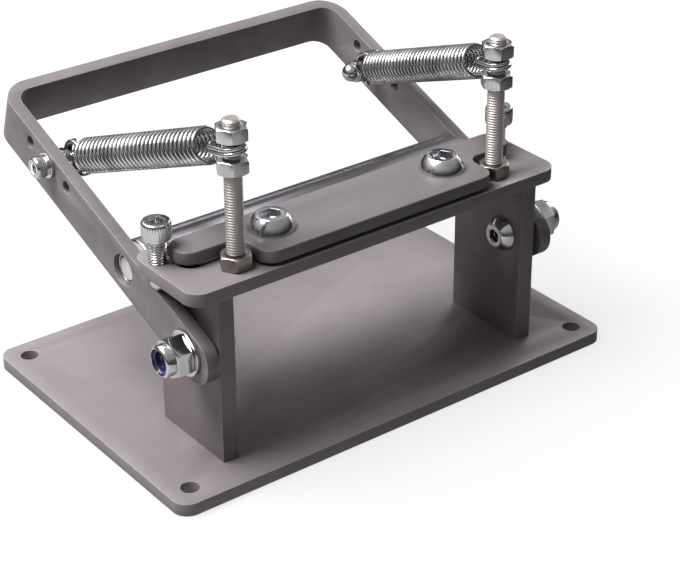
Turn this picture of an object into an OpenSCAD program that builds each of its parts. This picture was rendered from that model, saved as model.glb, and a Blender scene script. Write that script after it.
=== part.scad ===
/* [Base] */
// Width of the base plate
base_width = 241.5; // [200:0.5:300]
// Depth of the base plate
base_depth = 159; // [130:0.5:200]
// Thickness of the base plate
base_thickness = 6; // [5:0.5:10]
// Radius of the base plate's corners
base_corner_radius = 7.5; // [4:0.5:14]
// Diameter of the four bench fixing holes
base_hole_diameter = 8.5; // [5:0.1:11]
// Distance of each fixing hole from the two nearest edges
base_hole_inset = 11.2; // [9:0.1:14]

/* [Frame] */
// Distance between the outer faces of the two uprights
upright_span = 176; // [140:1:216]
// Thickness of an upright
upright_thickness = 8; // [7:0.5:10]
// Height of an upright above the base plate
upright_height = 80; // [66:1:100]
// How far the uprights stand back from the top plate's front edge
upright_setback = 1.5; // [0:0.1:3]
// How far the top plate's front edge stands back from the base plate's
top_plate_setback = 16.1; // [4:0.1:30]
// Depth of the top plate, front to back
top_plate_depth = 48; // [44:0.5:60]
// Thickness of the top plate
top_plate_thickness = 6; // [5:0.5:10]
// How far the top plate stands out past each upright
top_plate_overhang = 12.5; // [11.5:0.5:20]
// Radius of the top plate's corners
top_plate_corner_radius = 8; // [3:0.5:12]
// Thread size of the countersunk screws in the ends of the uprights
frame_screw_diameter = 6; // [4:0.5:6]
// Length of the countersunk screws in the ends of the uprights
frame_screw_length = 20; // [14:1:25]

/* [Clamp plate] */
// Depth of the clamp plate, front to back
clamp_plate_depth = 36; // [33:0.5:44]
// Thickness of the clamp plate
clamp_plate_thickness = 6; // [5:0.5:10]
// How far the clamp plate's front edge stands back from the top plate's
clamp_plate_setback = 0.8; // [0:0.1:2]
// Gap between the end of an ear and the adjuster screw beside it
clamp_adjuster_gap = 0.9; // [0.5:0.1:6]
// Gap between a stud's nut and the ear behind it
clamp_ear_gap = 1.3; // [1:0.1:4]
// Gap between a stud's nut and the clamp plate's front part beside it
clamp_side_gap = 0.5; // [0.5:0.1:4]
// Radius of the corners of the clamp plate's front part
clamp_corner_radius = 7.5; // [3:0.5:7.5]
// Radius of the corners of the clamp plate's ears, a little under half their depth at most
clamp_ear_radius = 7.5; // [3:0.5:10]
// Radius of the inner corner between front part and ear
clamp_notch_radius = 6; // [2:0.5:7]
// Distance from a stud to the clamp screw beside it
clamp_screw_inset = 24; // [21:0.5:30]
// How far the clamp screws stand behind the top plate's front edge
clamp_screw_setback = 20; // [16:0.5:24]
// Thread size of the clamp screws
clamp_screw_diameter = 12; // [8:1:12]
// How far the clamp screws stand out under the top plate
clamp_screw_standout = 2.5; // [0:0.5:8]

/* [Blade] */
// Thickness of the blade
blade_thickness = 1.5; // [0.8:0.1:3]
// How far the ends of the blade lie inside the uprights' outer faces
blade_inset = 5; // [4:0.5:20]
// How far the cutting edge stands out behind the top plate
blade_overhang = 8; // [5:0.5:10]
// Gap between the blade's back edge and the nuts of the studs
blade_nut_gap = 2; // [0.5:0.1:5]
// Width of the ground bevel behind the cutting edge
blade_bevel_width = 6; // [2:0.5:8]
// Thickness left at the cutting edge
blade_edge_land = 0.1; // [0.05:0.05:0.3]

/* [Handle] */
// Width of the flat bar that the handle is bent from
handle_bar_width = 22; // [20:0.5:27]
// Thickness of the handle's flat bar
handle_bar_thickness = 6; // [5:0.5:8]
// Gap between an upright and the handle arm beside it
handle_side_gap = 2; // [1.2:0.1:3]
// Distance from the pivot to the outside of the handle's back bar
handle_reach = 166.5; // [138:0.5:200]
// Inner radius of the handle's two bends
handle_bend_radius = 8; // [3:0.5:12]
// Angle of the arms above level at rest
handle_rest_angle = 20.5; // [17:0.5:25]
// Distance from the pivot to the centre of an arm's round end
handle_end_offset = 5; // [0:0.5:8]
// Gap between the arms and the top plate's back edge at rest
handle_top_gap = 3; // [1:0.5:10]
// Distance of the pivot behind the top plate's front edge
pivot_setback = 14; // [12:0.5:16]
// Thread size of the pivot bolts
pivot_diameter = 10; // [8:1:12]
// Distance from the outside of the back bar to the middle spring hole
spring_hole_setback = 48.5; // [40:0.5:56]
// Spacing of the three spring holes in each arm
spring_hole_spacing = 16; // [13:0.5:20]
// Distance of the spring holes from the middle of the bar's width
spring_hole_offset = 5; // [0:0.5:6]

/* [Roller] */
// Diameter of the roller
roller_diameter = 23; // [18:0.5:28]
// How far the roller's axis lies behind the top plate's back edge
roller_setback = 14.7; // [14:0.1:20]
// Diameter of the roller's journals
journal_diameter = 12; // [8:0.5:12]
// Wall thickness of the flanged bushes that carry the journals
bush_wall = 1.5; // [1:0.1:2.5]
// How far a bush's flange stands out round it
bush_flange_width = 2; // [1:0.5:3]
// Thickness of a bush's flange
bush_flange_thickness = 1.5; // [1:0.1:2]
// How far bush and journal end short of an arm's outer face
journal_recess = 2; // [0:0.5:3]

/* [Springs] */
// Outer diameter of the springs
spring_diameter = 16.5; // [12:0.5:18]
// Diameter of the spring wire
spring_wire = 2; // [1.6:0.1:2.4]
// Distance from one turn of a spring to the next
spring_pitch = 3; // [2.5:0.1:5]
// Distance from the arm's screw to the first turn of the spring's body
spring_tail = 12; // [12:0.5:16]
// Distance from the stud's axis to the last turn of the spring's body
spring_nose = 16; // [16:0.5:28]

/* [Studs and adjusters] */
// Thread size of the spring studs and of the adjuster screws
stud_diameter = 8; // [6:0.5:10]
// Distance of the studs inside the uprights' inner faces
stud_inset = 9; // [7:0.5:12]
// How far the studs stand behind the top plate's front edge
stud_setback = 12; // [9:0.5:12.5]
// Height of the studs above the top plate
stud_height = 67.5; // [56:0.5:82]
// How far a stud stands out of its upper nut
stud_standout = 3; // [1:0.5:8]
// How far the adjuster screws stand outwards of the middle of the arms
adjuster_offset = 1.5; // [0:0.5:1.5]
// How far the adjuster screws stand behind the top plate's front edge
adjuster_setback = 35.5; // [30:0.5:36]
// Height of the adjuster screws' heads above the top plate
adjuster_rise = 11.5; // [10.5:0.5:20]

/* [Fits] */
// Radial clearance of parts that turn on each other
running_clearance = 0.06; // [0.02:0.01:0.1]
// Clearance round screws in plain holes
screw_clearance = 0.3; // [0.2:0.05:0.5]
// Clearance between faces that slide past each other
face_clearance = 0.1; // [0.05:0.01:0.2]

/* [Hidden] */
$fn = 64;
bite = 0.5;

// Heights of the stacked plates
base_top = base_thickness;
upright_top = base_top + upright_height;
table_top = upright_top + top_plate_thickness;
clamp_bottom = table_top + blade_thickness;
clamp_top = clamp_bottom + clamp_plate_thickness;

// The frame, seen from above
upright_x = upright_span / 2 - upright_thickness / 2;
top_plate_front = top_plate_setback - base_depth / 2;
top_plate_back = top_plate_front + top_plate_depth;
top_plate_length = upright_span + 2 * top_plate_overhang;
upright_front = top_plate_front + upright_setback;
upright_depth = top_plate_back - upright_front;
base_screw_ys = [upright_front + upright_depth * 0.22, upright_front + upright_depth * 0.78];
top_screw_ys = [upright_front + upright_depth * 0.54, upright_front + upright_depth * 0.82];
frame_screw_radius = frame_screw_diameter / 2;
frame_screw_head_radius = frame_screw_diameter * 0.93;

// The studs and their nuts
stud_radius = stud_diameter / 2;
stud_x = upright_span / 2 - upright_thickness - stud_inset;
stud_y = top_plate_front + stud_setback;
stud_nut_flats = stud_diameter * 1.625;
stud_nut_corner = stud_nut_flats / sqrt(3);
stud_nut_height = stud_diameter * 0.81;

// The clamp plate, its screws and the blade
clamp_front = top_plate_front + clamp_plate_setback;
clamp_back = clamp_front + clamp_plate_depth;
clamp_front_length = 2 * (stud_x - stud_nut_corner - clamp_side_gap);
clamp_ear_front = stud_y + stud_nut_corner + clamp_ear_gap;
clamp_screw_x = stud_x - clamp_screw_inset;
clamp_screw_y = top_plate_front + clamp_screw_setback;
clamp_screw_radius = clamp_screw_diameter / 2;
clamp_screw_length = clamp_top - upright_top + clamp_screw_standout;
blade_length = upright_span - 2 * blade_inset;
blade_edge = top_plate_back + blade_overhang;
blade_back = stud_y + stud_nut_corner + blade_nut_gap;

// The handle's own frame: Y runs along the arms from the pivot, Z across the bar
arm_inner = upright_span / 2 + handle_side_gap;
arm_outer = arm_inner + handle_bar_thickness;
arm_middle = (arm_inner + arm_outer) / 2;
bar_half = handle_bar_width / 2;
bend_outer = handle_bend_radius + handle_bar_thickness;
bend_x = arm_inner - handle_bend_radius;
pivot_radius = pivot_diameter / 2;
pivot_y = top_plate_front + pivot_setback;
pivot_z = upright_top - handle_top_gap - bar_half / cos(handle_rest_angle)
    - (top_plate_back - pivot_y) * tan(handle_rest_angle);
spring_hole_distance = handle_reach - spring_hole_setback;
function arm_point(x, along, across) = [
    x,
    pivot_y + along * cos(handle_rest_angle) - across * sin(handle_rest_angle),
    pivot_z + along * sin(handle_rest_angle) + across * cos(handle_rest_angle)
];

// The pivots
pivot_head_radius = pivot_diameter * 0.875;
pivot_head_height = pivot_diameter * 0.55;
spacer_thickness = handle_side_gap - 2 * face_clearance;
spacer_radius = pivot_diameter * 0.8;
washer_thickness = 1.6;
pivot_washer_radius = pivot_diameter * 1.05;
pivot_nut_x = arm_outer + face_clearance + washer_thickness;

// The lock nuts: a hexagon, then a round collar that holds the nylon ring; the bolt ends under the ring
pivot_nut_flats = pivot_diameter * 1.7;
pivot_nut_height = pivot_diameter * 1.24;
collar_z = pivot_nut_height * 0.65;
collar_radius = pivot_nut_flats * 0.43;
insert_z = pivot_nut_height * 0.68;
insert_thickness = pivot_nut_height * 0.24;
insert_radius = pivot_radius * 1.28;
insert_bore = pivot_radius * 0.88;
pivot_bolt_end = pivot_nut_x + insert_z - 0.2;

// The roller and its bushes
roller_radius = roller_diameter / 2;
roller_distance = (top_plate_back + roller_setback - pivot_y) / cos(handle_rest_angle);
journal_radius = journal_diameter / 2;
bush_radius = journal_radius + running_clearance + bush_wall;
bush_end = arm_outer - journal_recess;
roller_end = arm_inner - bush_flange_thickness - 3 * face_clearance;

// The springs' double loops, each held between two nuts
loop_turns = 1.5;
loop_pitch = 1.06;
loop_gap = (loop_turns * loop_pitch + 1) * spring_wire + 2 * screw_clearance;
stud_top = table_top + stud_height;
upper_nut_z = stud_top - stud_standout - stud_nut_height;
stud_loop_tilt = 8;
stud_gap = loop_gap + 2 * stud_nut_flats / sqrt(3) * sin(stud_loop_tilt);
lower_nut_z = upper_nut_z - stud_gap - stud_nut_height;
stud_loop_z = upper_nut_z - stud_gap / 2;
stud_loop_radius = stud_radius + spring_wire / 2 + 0.4;
stud_loop_stretch = 7;
spring_lift = 2.3;

// The spring anchors: the springs lean inwards, so a turn may reach past the arm's inner face
anchor_radius = 3;
anchor_washer_thickness = 1.6;
anchor_washer_radius = 6;
anchor_head_radius = 5;
anchor_head_height = 6;
anchor_nut_flats = 10;
anchor_nut_height = 5;
anchor_loop_x = arm_inner - spring_diameter / 2 + 1.4;
anchor_jam_height = arm_inner - anchor_loop_x - loop_gap / 2;
anchor_nut_x = anchor_loop_x - loop_gap / 2 - anchor_nut_height;
anchor_dome_radius = 4.5;
anchor_screw_end = anchor_nut_x - 2;
anchor_loop_radius = (spring_diameter - spring_wire) / 2;
anchor_loop_shift = anchor_loop_radius - anchor_radius - spring_wire / 2 - 0.4;
anchor_centre = arm_point(anchor_loop_x, spring_hole_distance, spring_hole_offset);

// The adjuster screws: a ball point rests on the top edge of each arm
adjuster_x = arm_middle + adjuster_offset;
adjuster_y = top_plate_front + adjuster_setback;
adjuster_ball_z = pivot_z + (bar_half + stud_radius + face_clearance
    + (adjuster_y - pivot_y) * sin(handle_rest_angle)) / cos(handle_rest_angle);
adjuster_head_z = table_top + adjuster_rise;
adjuster_length = adjuster_head_z - adjuster_ball_z + stud_radius;
adjuster_head_radius = stud_diameter * 0.8125;
adjuster_head_height = stud_diameter;

// The clamp plate's ears reach out to a set gap from the adjuster screws
clamp_ear_depth = clamp_back - clamp_ear_front;
clamp_ear_corner = min(clamp_ear_radius, clamp_ear_depth * 0.48);
clamp_ear_reach = clamp_ear_corner + stud_radius + clamp_adjuster_gap;
clamp_ear_skew = max(0, adjuster_y - (clamp_back - clamp_ear_corner));
clamp_ear_end = adjuster_x + clamp_ear_corner - sqrt(pow(clamp_ear_reach, 2) - pow(clamp_ear_skew, 2));
clamp_plate_length = 2 * clamp_ear_end;

plate_steel = "#8c8482";
handle_steel = "#857e7c";
bright_steel = "#c8c8c6";
blade_steel = "#a9adb0";
nylon = "#3a3f8f";
bush_steel = "#8d8d8b";
black_steel = "#2e2d2d";

// Makes the left-hand piece of a pair from the right-hand one
module left() { mirror([1, 0, 0]) children(); }

// Draws a piece on both sides
module both_sides() {
    children();
    left() children();
}

// A flat outline with four round corners, from its lower left corner
module rounded_outline(size, radius) {
    translate([radius, 0]) square([size.x - 2 * radius, size.y]);
    translate([0, radius]) square([size.x, size.y - 2 * radius]);
    for (x = [radius, size.x - radius], y = [radius, size.y - radius])
        translate([x, y]) circle(radius);
}

// A washer or ring standing on the XY plane
module ring(outer, inner, height) {
    difference() {
        cylinder(r = outer, h = height);
        translate([0, 0, -bite]) cylinder(r = inner, h = height + 2 * bite);
    }
}

// A six-sided prism with the round chamfer of a nut at one or both ends
module hexagon_blank(flats, height, chamfer_bottom = true) {
    corner = flats / sqrt(3);
    face = flats * 0.475;
    rise = (corner - face) * tan(30);
    intersection() {
        cylinder(r = corner, h = height, $fn = 6);
        rotate_extrude() polygon([
            [0, 0], [chamfer_bottom ? face : corner, 0], [corner, chamfer_bottom ? rise : 0.01],
            [corner, height - rise], [face, height], [0, height]
        ]);
    }
}

module hexagon_nut(flats, height, bore) {
    difference() {
        hexagon_blank(flats, height);
        translate([0, 0, -bite]) cylinder(r = bore, h = height + 2 * bite);
    }
}

// A hexagon socket, cut down from the XY plane, with a drilled cone under it
module socket(flats, depth) {
    translate([0, 0, -depth]) cylinder(r = flats / sqrt(3), h = depth + bite, $fn = 6);
    translate([0, 0, -depth - flats * 0.2]) cylinder(r1 = 0, r2 = flats * 0.49, h = flats * 0.2 + 0.01);
}

// A shank hanging down from the XY plane, with a chamfered end
module shank(radius, length, chamfer = 0.8) {
    rotate_extrude() polygon([
        [0, 0.01], [radius, 0.01], [radius, chamfer - length], [radius - chamfer, -length], [0, -length]
    ]);
}

// A screw with a cylindrical socket head, head up, seated on the XY plane
module cap_screw(radius, length, head_radius, head_height, ball_end = false) {
    difference() {
        union() {
            rotate_extrude() polygon([
                [0, 0], [head_radius, 0], [head_radius, head_height - 0.8],
                [head_radius - 0.8, head_height], [0, head_height]
            ]);
            if (ball_end) {
                translate([0, 0, radius - length]) cylinder(r = radius, h = length - radius + 0.01);
                translate([0, 0, radius - length]) sphere(radius);
            } else {
                shank(radius, length);
            }
        }
        translate([0, 0, head_height]) socket(radius * 1.5, head_height * 0.5);
    }
}

// A screw with a domed socket head, head up, seated on the XY plane
module button_screw(radius, length, head_radius, head_height, socket_flats) {
    flat_radius = socket_flats * 0.85;
    drop = (pow(head_radius, 2) - pow(flat_radius, 2) - pow(head_height, 2)) / (2 * head_height);
    dome_radius = sqrt(pow(head_radius, 2) + pow(drop, 2));
    difference() {
        union() {
            intersection() {
                translate([0, 0, -drop]) sphere(dome_radius);
                cylinder(r = head_radius, h = head_height);
            }
            shank(radius, length);
        }
        translate([0, 0, head_height]) socket(socket_flats, head_height * 0.55);
    }
}

// A countersunk screw, head flush with the XY plane
module flat_screw(radius, length, head_radius) {
    difference() {
        union() {
            translate([0, 0, radius - head_radius])
                cylinder(r1 = radius, r2 = head_radius, h = head_radius - radius);
            translate([0, 0, -bite]) shank(radius, length - bite);
        }
        socket(radius * 1.2, radius * 0.7);
    }
}

// The hole and countersink for a flat screw, head side up at the XY plane
module flat_screw_hole(radius, depth, head_radius) {
    translate([0, 0, -depth - bite]) cylinder(r = radius + screw_clearance / 2, h = depth + 2 * bite);
    translate([0, 0, radius - head_radius])
        cylinder(r1 = radius, r2 = head_radius + bite, h = head_radius - radius + bite);
}

// A cylinder along X, from x to x + length
module bar_x(x, radius, length, y = 0, z = 0) {
    translate([x, y, z]) rotate([0, 90, 0]) cylinder(r = radius, h = length);
}

// Places children in the handle's own frame
module on_arm() {
    translate([0, pivot_y, pivot_z]) rotate([handle_rest_angle, 0, 0]) children();
}

module base_plate() {
    color(plate_steel) difference() {
        translate([-base_width / 2, -base_depth / 2]) linear_extrude(base_thickness)
            rounded_outline([base_width, base_depth], base_corner_radius);
        for (x = [-1, 1], y = [-1, 1])
            translate([
                x * (base_width / 2 - base_hole_inset), y * (base_depth / 2 - base_hole_inset), -bite
            ]) cylinder(d = base_hole_diameter, h = base_thickness + 2 * bite);
        both_sides() for (y = base_screw_ys) translate([upright_x, y, 0]) mirror([0, 0, 1])
            flat_screw_hole(frame_screw_radius, base_thickness, frame_screw_head_radius);
    }
}

module base_screws() {
    color(black_steel) both_sides() for (y = base_screw_ys)
        translate([upright_x, y, 0]) mirror([0, 0, 1])
            flat_screw(frame_screw_radius, frame_screw_length, frame_screw_head_radius);
}

// The right-hand upright, drilled for the pivot bolt and for the screws in its two ends
module upright() {
    hole_depth = frame_screw_length + 1;
    color(plate_steel) difference() {
        translate([upright_span / 2 - upright_thickness, upright_front, base_top])
            cube([upright_thickness, upright_depth, upright_height]);
        bar_x(upright_x - upright_thickness, pivot_radius + running_clearance,
            2 * upright_thickness, pivot_y, pivot_z);
        for (y = base_screw_ys) translate([upright_x, y, 0])
            cylinder(r = frame_screw_radius, h = hole_depth);
        for (y = top_screw_ys) translate([upright_x, y, table_top - hole_depth])
            cylinder(r = frame_screw_radius, h = hole_depth);
    }
}

module top_plate() {
    color(plate_steel) difference() {
        translate([-top_plate_length / 2, top_plate_front, upright_top])
            linear_extrude(top_plate_thickness)
                rounded_outline([top_plate_length, top_plate_depth], top_plate_corner_radius);
        both_sides() {
            threaded_hole(clamp_screw_x, clamp_screw_y, clamp_screw_radius);
            threaded_hole(stud_x, stud_y, stud_radius);
            threaded_hole(adjuster_x, adjuster_y, stud_radius + running_clearance);
            for (y = top_screw_ys) translate([upright_x, y, table_top])
                flat_screw_hole(frame_screw_radius, top_plate_thickness, frame_screw_head_radius);
        }
    }
}

// A hole through the top plate
module threaded_hole(x, y, radius) {
    translate([x, y, upright_top - bite]) cylinder(r = radius, h = top_plate_thickness + 2 * bite);
}

module top_plate_screws() {
    color(black_steel) both_sides() for (y = top_screw_ys) translate([upright_x, y, table_top])
        flat_screw(frame_screw_radius, frame_screw_length, frame_screw_head_radius);
}

// The clamp plate's outline: a front part between the studs, and an ear behind each stud
module clamp_outline() {
    front_corner = [-clamp_front_length / 2, clamp_front];
    ear_corner = [-clamp_plate_length / 2, clamp_ear_front];
    translate(front_corner) rounded_outline([clamp_front_length, clamp_plate_depth], clamp_corner_radius);
    translate(ear_corner) rounded_outline([clamp_plate_length, clamp_ear_depth], clamp_ear_corner);
    both_sides() difference() {
        translate([clamp_front_length / 2 - bite, clamp_ear_front - clamp_notch_radius])
            square(clamp_notch_radius + bite);
        translate([clamp_front_length / 2 + clamp_notch_radius, clamp_ear_front - clamp_notch_radius])
            circle(clamp_notch_radius);
    }
}

module clamp_plate() {
    color(plate_steel) difference() {
        translate([0, 0, clamp_bottom]) linear_extrude(clamp_plate_thickness) clamp_outline();
        both_sides() translate([clamp_screw_x, clamp_screw_y, clamp_bottom - bite])
            cylinder(r = clamp_screw_radius + screw_clearance, h = clamp_plate_thickness + 2 * bite);
    }
}

// The blade lies flat on the top plate; two open slots let it slide past the clamp screws
module blade() {
    slot_radius = clamp_screw_radius + screw_clearance;
    slot_end = clamp_screw_y + 3;
    color(blade_steel) difference() {
        translate([-blade_length / 2, 0, table_top]) rotate([90, 0, 90]) linear_extrude(blade_length)
            polygon([
                [blade_back, 0], [blade_edge, 0], [blade_edge, blade_edge_land],
                [blade_edge - blade_bevel_width, blade_thickness], [blade_back, blade_thickness]
            ]);
        both_sides() translate([clamp_screw_x, 0, table_top - bite]) {
            translate([0, slot_end]) cylinder(r = slot_radius, h = blade_thickness + 2 * bite);
            translate([-slot_radius, blade_back - bite])
                cube([2 * slot_radius, slot_end - blade_back + bite, blade_thickness + 2 * bite]);
        }
    }
}

module clamp_screw() {
    color(bright_steel) translate([clamp_screw_x, clamp_screw_y, clamp_top])
        button_screw(clamp_screw_radius, clamp_screw_length, clamp_screw_diameter * 0.875,
            clamp_screw_diameter * 0.55, clamp_screw_diameter * 2 / 3);
}

// The stud is screwed through the top plate and stands up beside the clamp plate
module stud() {
    foot = top_plate_thickness + 1.5;
    color(bright_steel) translate([stud_x, stud_y, table_top]) {
        shank(stud_radius, foot);
        mirror([0, 0, 1]) shank(stud_radius, stud_height);
    }
}

module stud_nut_at(z) {
    color(bright_steel) translate([stud_x, stud_y, z])
        hexagon_nut(stud_nut_flats, stud_nut_height, stud_radius);
}

module stud_nut() { stud_nut_at(table_top); }
module spring_lower_nut() { stud_nut_at(lower_nut_z); }
module spring_upper_nut() { stud_nut_at(upper_nut_z); }

module adjuster_screw() {
    color(bright_steel) translate([adjuster_x, adjuster_y, adjuster_head_z])
        cap_screw(stud_radius, adjuster_length, adjuster_head_radius, adjuster_head_height, true);
}

// The handle: one flat bar bent to a U, drilled for pivots, roller bushes and spring screws
module handle() {
    straight = handle_reach - bend_outer;
    color(handle_steel) on_arm() difference() {
        union() {
            both_sides() {
                translate([arm_inner, -handle_end_offset, -bar_half])
                    cube([handle_bar_thickness, straight + handle_end_offset, handle_bar_width]);
                bar_x(arm_inner, bar_half, handle_bar_thickness, -handle_end_offset);
                translate([bend_x, straight]) rotate_extrude(angle = 90)
                    translate([handle_bend_radius, -bar_half])
                        square([handle_bar_thickness, handle_bar_width]);
            }
            translate([-bend_x, handle_reach - handle_bar_thickness, -bar_half])
                cube([2 * bend_x, handle_bar_thickness, handle_bar_width]);
        }
        both_sides() {
            arm_hole(0, 0, pivot_radius + running_clearance);
            arm_hole(roller_distance, 0, bush_radius);
            for (step = [-1, 0, 1])
                arm_hole(spring_hole_distance + step * spring_hole_spacing, spring_hole_offset,
                    anchor_radius);
        }
    }
}

// A hole through one arm
module arm_hole(along, across, radius) {
    bar_x(arm_inner - bite, radius, handle_bar_thickness + 2 * bite, along, across);
}

module pivot_bolt() {
    underhead = upright_span / 2 - upright_thickness;
    color(bright_steel) translate([underhead, pivot_y, pivot_z]) rotate([0, -90, 0])
        button_screw(pivot_radius, pivot_bolt_end - underhead, pivot_head_radius, pivot_head_height,
            pivot_diameter * 0.6);
}

// A ring on the pivot's axis, from x outwards
module pivot_ring(x, outer, thickness, inner = pivot_radius) {
    translate([x, pivot_y, pivot_z]) rotate([0, 90, 0]) ring(outer, inner, thickness);
}

module pivot_spacer() {
    color(bright_steel) pivot_ring(upright_span / 2 + face_clearance, spacer_radius, spacer_thickness);
}

module pivot_washer() {
    color(bright_steel) pivot_ring(arm_outer + face_clearance, pivot_washer_radius, washer_thickness);
}

module pivot_nut() {
    color(bright_steel) translate([pivot_nut_x, pivot_y, pivot_z]) rotate([0, 90, 0]) difference() {
        union() {
            hexagon_blank(pivot_nut_flats, collar_z);
            rotate_extrude() polygon([
                [0, 0.1], [collar_radius, 0.1], [collar_radius, pivot_nut_height - 1.4],
                [collar_radius - 0.4, pivot_nut_height - 0.5], [collar_radius - 1.2, pivot_nut_height],
                [0, pivot_nut_height]
            ]);
        }
        translate([0, 0, -bite]) cylinder(r = pivot_radius, h = pivot_nut_height + 2 * bite);
        translate([0, 0, insert_z]) cylinder(r = insert_radius, h = insert_thickness);
        translate([0, 0, insert_z + insert_thickness - 0.01])
            cylinder(r = insert_radius - 0.4, h = pivot_nut_height);
    }
}

module nut_insert() {
    color(nylon) pivot_ring(pivot_nut_x + insert_z, insert_radius, insert_thickness, insert_bore);
}

// The roller is turned from one bar, with a journal at each end
module roller() {
    chamfer = 0.8;
    half = [
        [0, 0], [roller_radius, 0], [roller_radius, roller_end - chamfer],
        [roller_radius - chamfer, roller_end], [journal_radius, roller_end],
        [journal_radius, bush_end - chamfer], [journal_radius - chamfer, bush_end], [0, bush_end]
    ];
    color(bright_steel) on_arm() both_sides() translate([0, roller_distance, 0]) rotate([0, 90, 0])
        rotate_extrude() polygon(half);
}

module roller_bush() {
    color(bush_steel) on_arm() translate([0, roller_distance, 0]) rotate([0, 90, 0]) difference() {
        union() {
            translate([0, 0, arm_inner]) cylinder(r = bush_radius, h = bush_end - arm_inner);
            translate([0, 0, arm_inner - bush_flange_thickness])
                cylinder(r = bush_radius + bush_flange_width, h = bush_flange_thickness);
        }
        translate([0, 0, arm_inner - bush_flange_thickness - bite])
            cylinder(r = journal_radius + running_clearance, h = handle_bar_thickness + 4 * bite);
    }
}

// Places children on the axis of the arm's middle spring hole, Z pointing outwards from x
module on_anchor(x) {
    on_arm() translate([x, spring_hole_distance, spring_hole_offset]) rotate([0, 90, 0]) children();
}

module anchor_screw() {
    underhead = arm_outer + anchor_washer_thickness;
    color(bright_steel) on_anchor(underhead)
        cap_screw(anchor_radius, underhead - anchor_screw_end, anchor_head_radius, anchor_head_height);
}

module anchor_washer() {
    color(bright_steel) on_anchor(arm_outer)
        ring(anchor_washer_radius, anchor_radius, anchor_washer_thickness);
}

module anchor_jam_nut() {
    color(bright_steel) on_anchor(arm_inner - anchor_jam_height)
        hexagon_nut(anchor_nut_flats, anchor_jam_height, anchor_radius);
}

module anchor_nut() {
    color(bright_steel) on_anchor(anchor_nut_x) difference() {
        union() {
            hexagon_blank(anchor_nut_flats, anchor_nut_height);
            translate([0, 0, -0.5]) cylinder(r = anchor_dome_radius, h = 1.5);
            translate([0, 0, -0.5]) sphere(anchor_dome_radius);
        }
        translate([0, 0, -2.2]) cylinder(r = anchor_radius, h = anchor_nut_height + 2.2 + bite);
    }
}

// The springs: one wire, from a double loop round the arm's screw to one round the stud
wire_sides = 6;
coil_steps = 10;
loop_steps = 14;
bend_steps = 7;
stud_centre = [stud_x, stud_y, stud_loop_z];
function unit(v) = v / norm(v);
function flat_part(v, axis) = v - axis * (v * axis);

stud_end = stud_centre + [0, 0, spring_lift];
spring_axis = unit(stud_end - anchor_centre);
body_start = anchor_centre + spring_axis * spring_tail;
body_length = norm(stud_end - anchor_centre) - spring_tail - spring_nose;
spring_turns = floor(body_length / spring_pitch);
body_radius = (spring_diameter - spring_wire) / 2;

// Each loop's own directions: out of its centre towards the body, and across that
arm_loop_out = unit(flat_part(spring_axis, [1, 0, 0]));
arm_loop_side = cross([1, 0, 0], arm_loop_out);
stud_loop_flat = unit(flat_part(-spring_axis, [0, 0, 1]));
stud_loop_out = stud_loop_flat * cos(stud_loop_tilt) - [0, 0, sin(stud_loop_tilt)];
stud_loop_side = cross([0, 0, 1], stud_loop_flat);
stud_loop_axis = cross(stud_loop_out, stud_loop_side);
body_side = unit(flat_part(arm_loop_side, spring_axis));
body_up = cross(spring_axis, body_side);

// Points round a loop, drawn out towards the body by stretch, rising along its axis
function loop_points(centre, out, side, rise, radius, stretch, first, turns) = [
    for (i = [0 : floor(turns * loop_steps)]) let (a = first + i * 360 / loop_steps)
        centre + out * (radius * cos(a) + (cos(a) > 0.01 ? stretch : 0)) + side * radius * sin(a)
            + rise * (i / loop_steps - turns / 2)
];

// Points of a cubic curve between two others, without its two ends
function bend_points(p0, p1, p2, p3) = [
    for (i = [1 : bend_steps - 1]) let (t = i / bend_steps, s = 1 - t)
        s * s * s * p0 + 3 * s * s * t * p1 + 3 * s * t * t * p2 + t * t * t * p3
];

// The bend that leads from the end of one run of points into the next
function bend_between(a, b, reach) =
    let (m = len(a) - 1)
    bend_points(a[m], a[m] + unit(a[m] - a[m - 1]) * reach, b[0] - unit(b[1] - b[0]) * reach, b[0]);

// The whole wire; hand is 1 or -1, so that both springs can be wound the same way
function wire_path(hand) =
    let (
        steps = spring_turns * coil_steps + (hand > 0 ? coil_steps / 2 : 0),
        body = [
            for (i = [0 : steps]) let (a = 180 + i * 360 / coil_steps)
                body_start + spring_axis * body_length * i / steps
                    + body_side * hand * body_radius * cos(a) + body_up * body_radius * sin(a)
        ],
        arm_loop = loop_points(anchor_centre + arm_loop_out * anchor_loop_shift, arm_loop_out,
            arm_loop_side * hand, [spring_wire * loop_pitch, 0, 0], anchor_loop_radius, 0,
            -90 - 360 * loop_turns, loop_turns),
        stud_loop = loop_points(stud_centre, stud_loop_out, stud_loop_side * hand,
            stud_loop_axis * spring_wire * loop_pitch, stud_loop_radius, stud_loop_stretch, 30, loop_turns)
    )
    concat(arm_loop, bend_between(arm_loop, body, 5), body, bend_between(body, stud_loop, 5), stud_loop);

// One direction across the wire, carried along it without twist
function carried(along) = [
    for (i = 0, across = unit(cross(along[0], [1, 2, 3])); i < len(along); i = i + 1,
        across = unit(flat_part(across, along[min(i, len(along) - 1)]))) across
];

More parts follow.
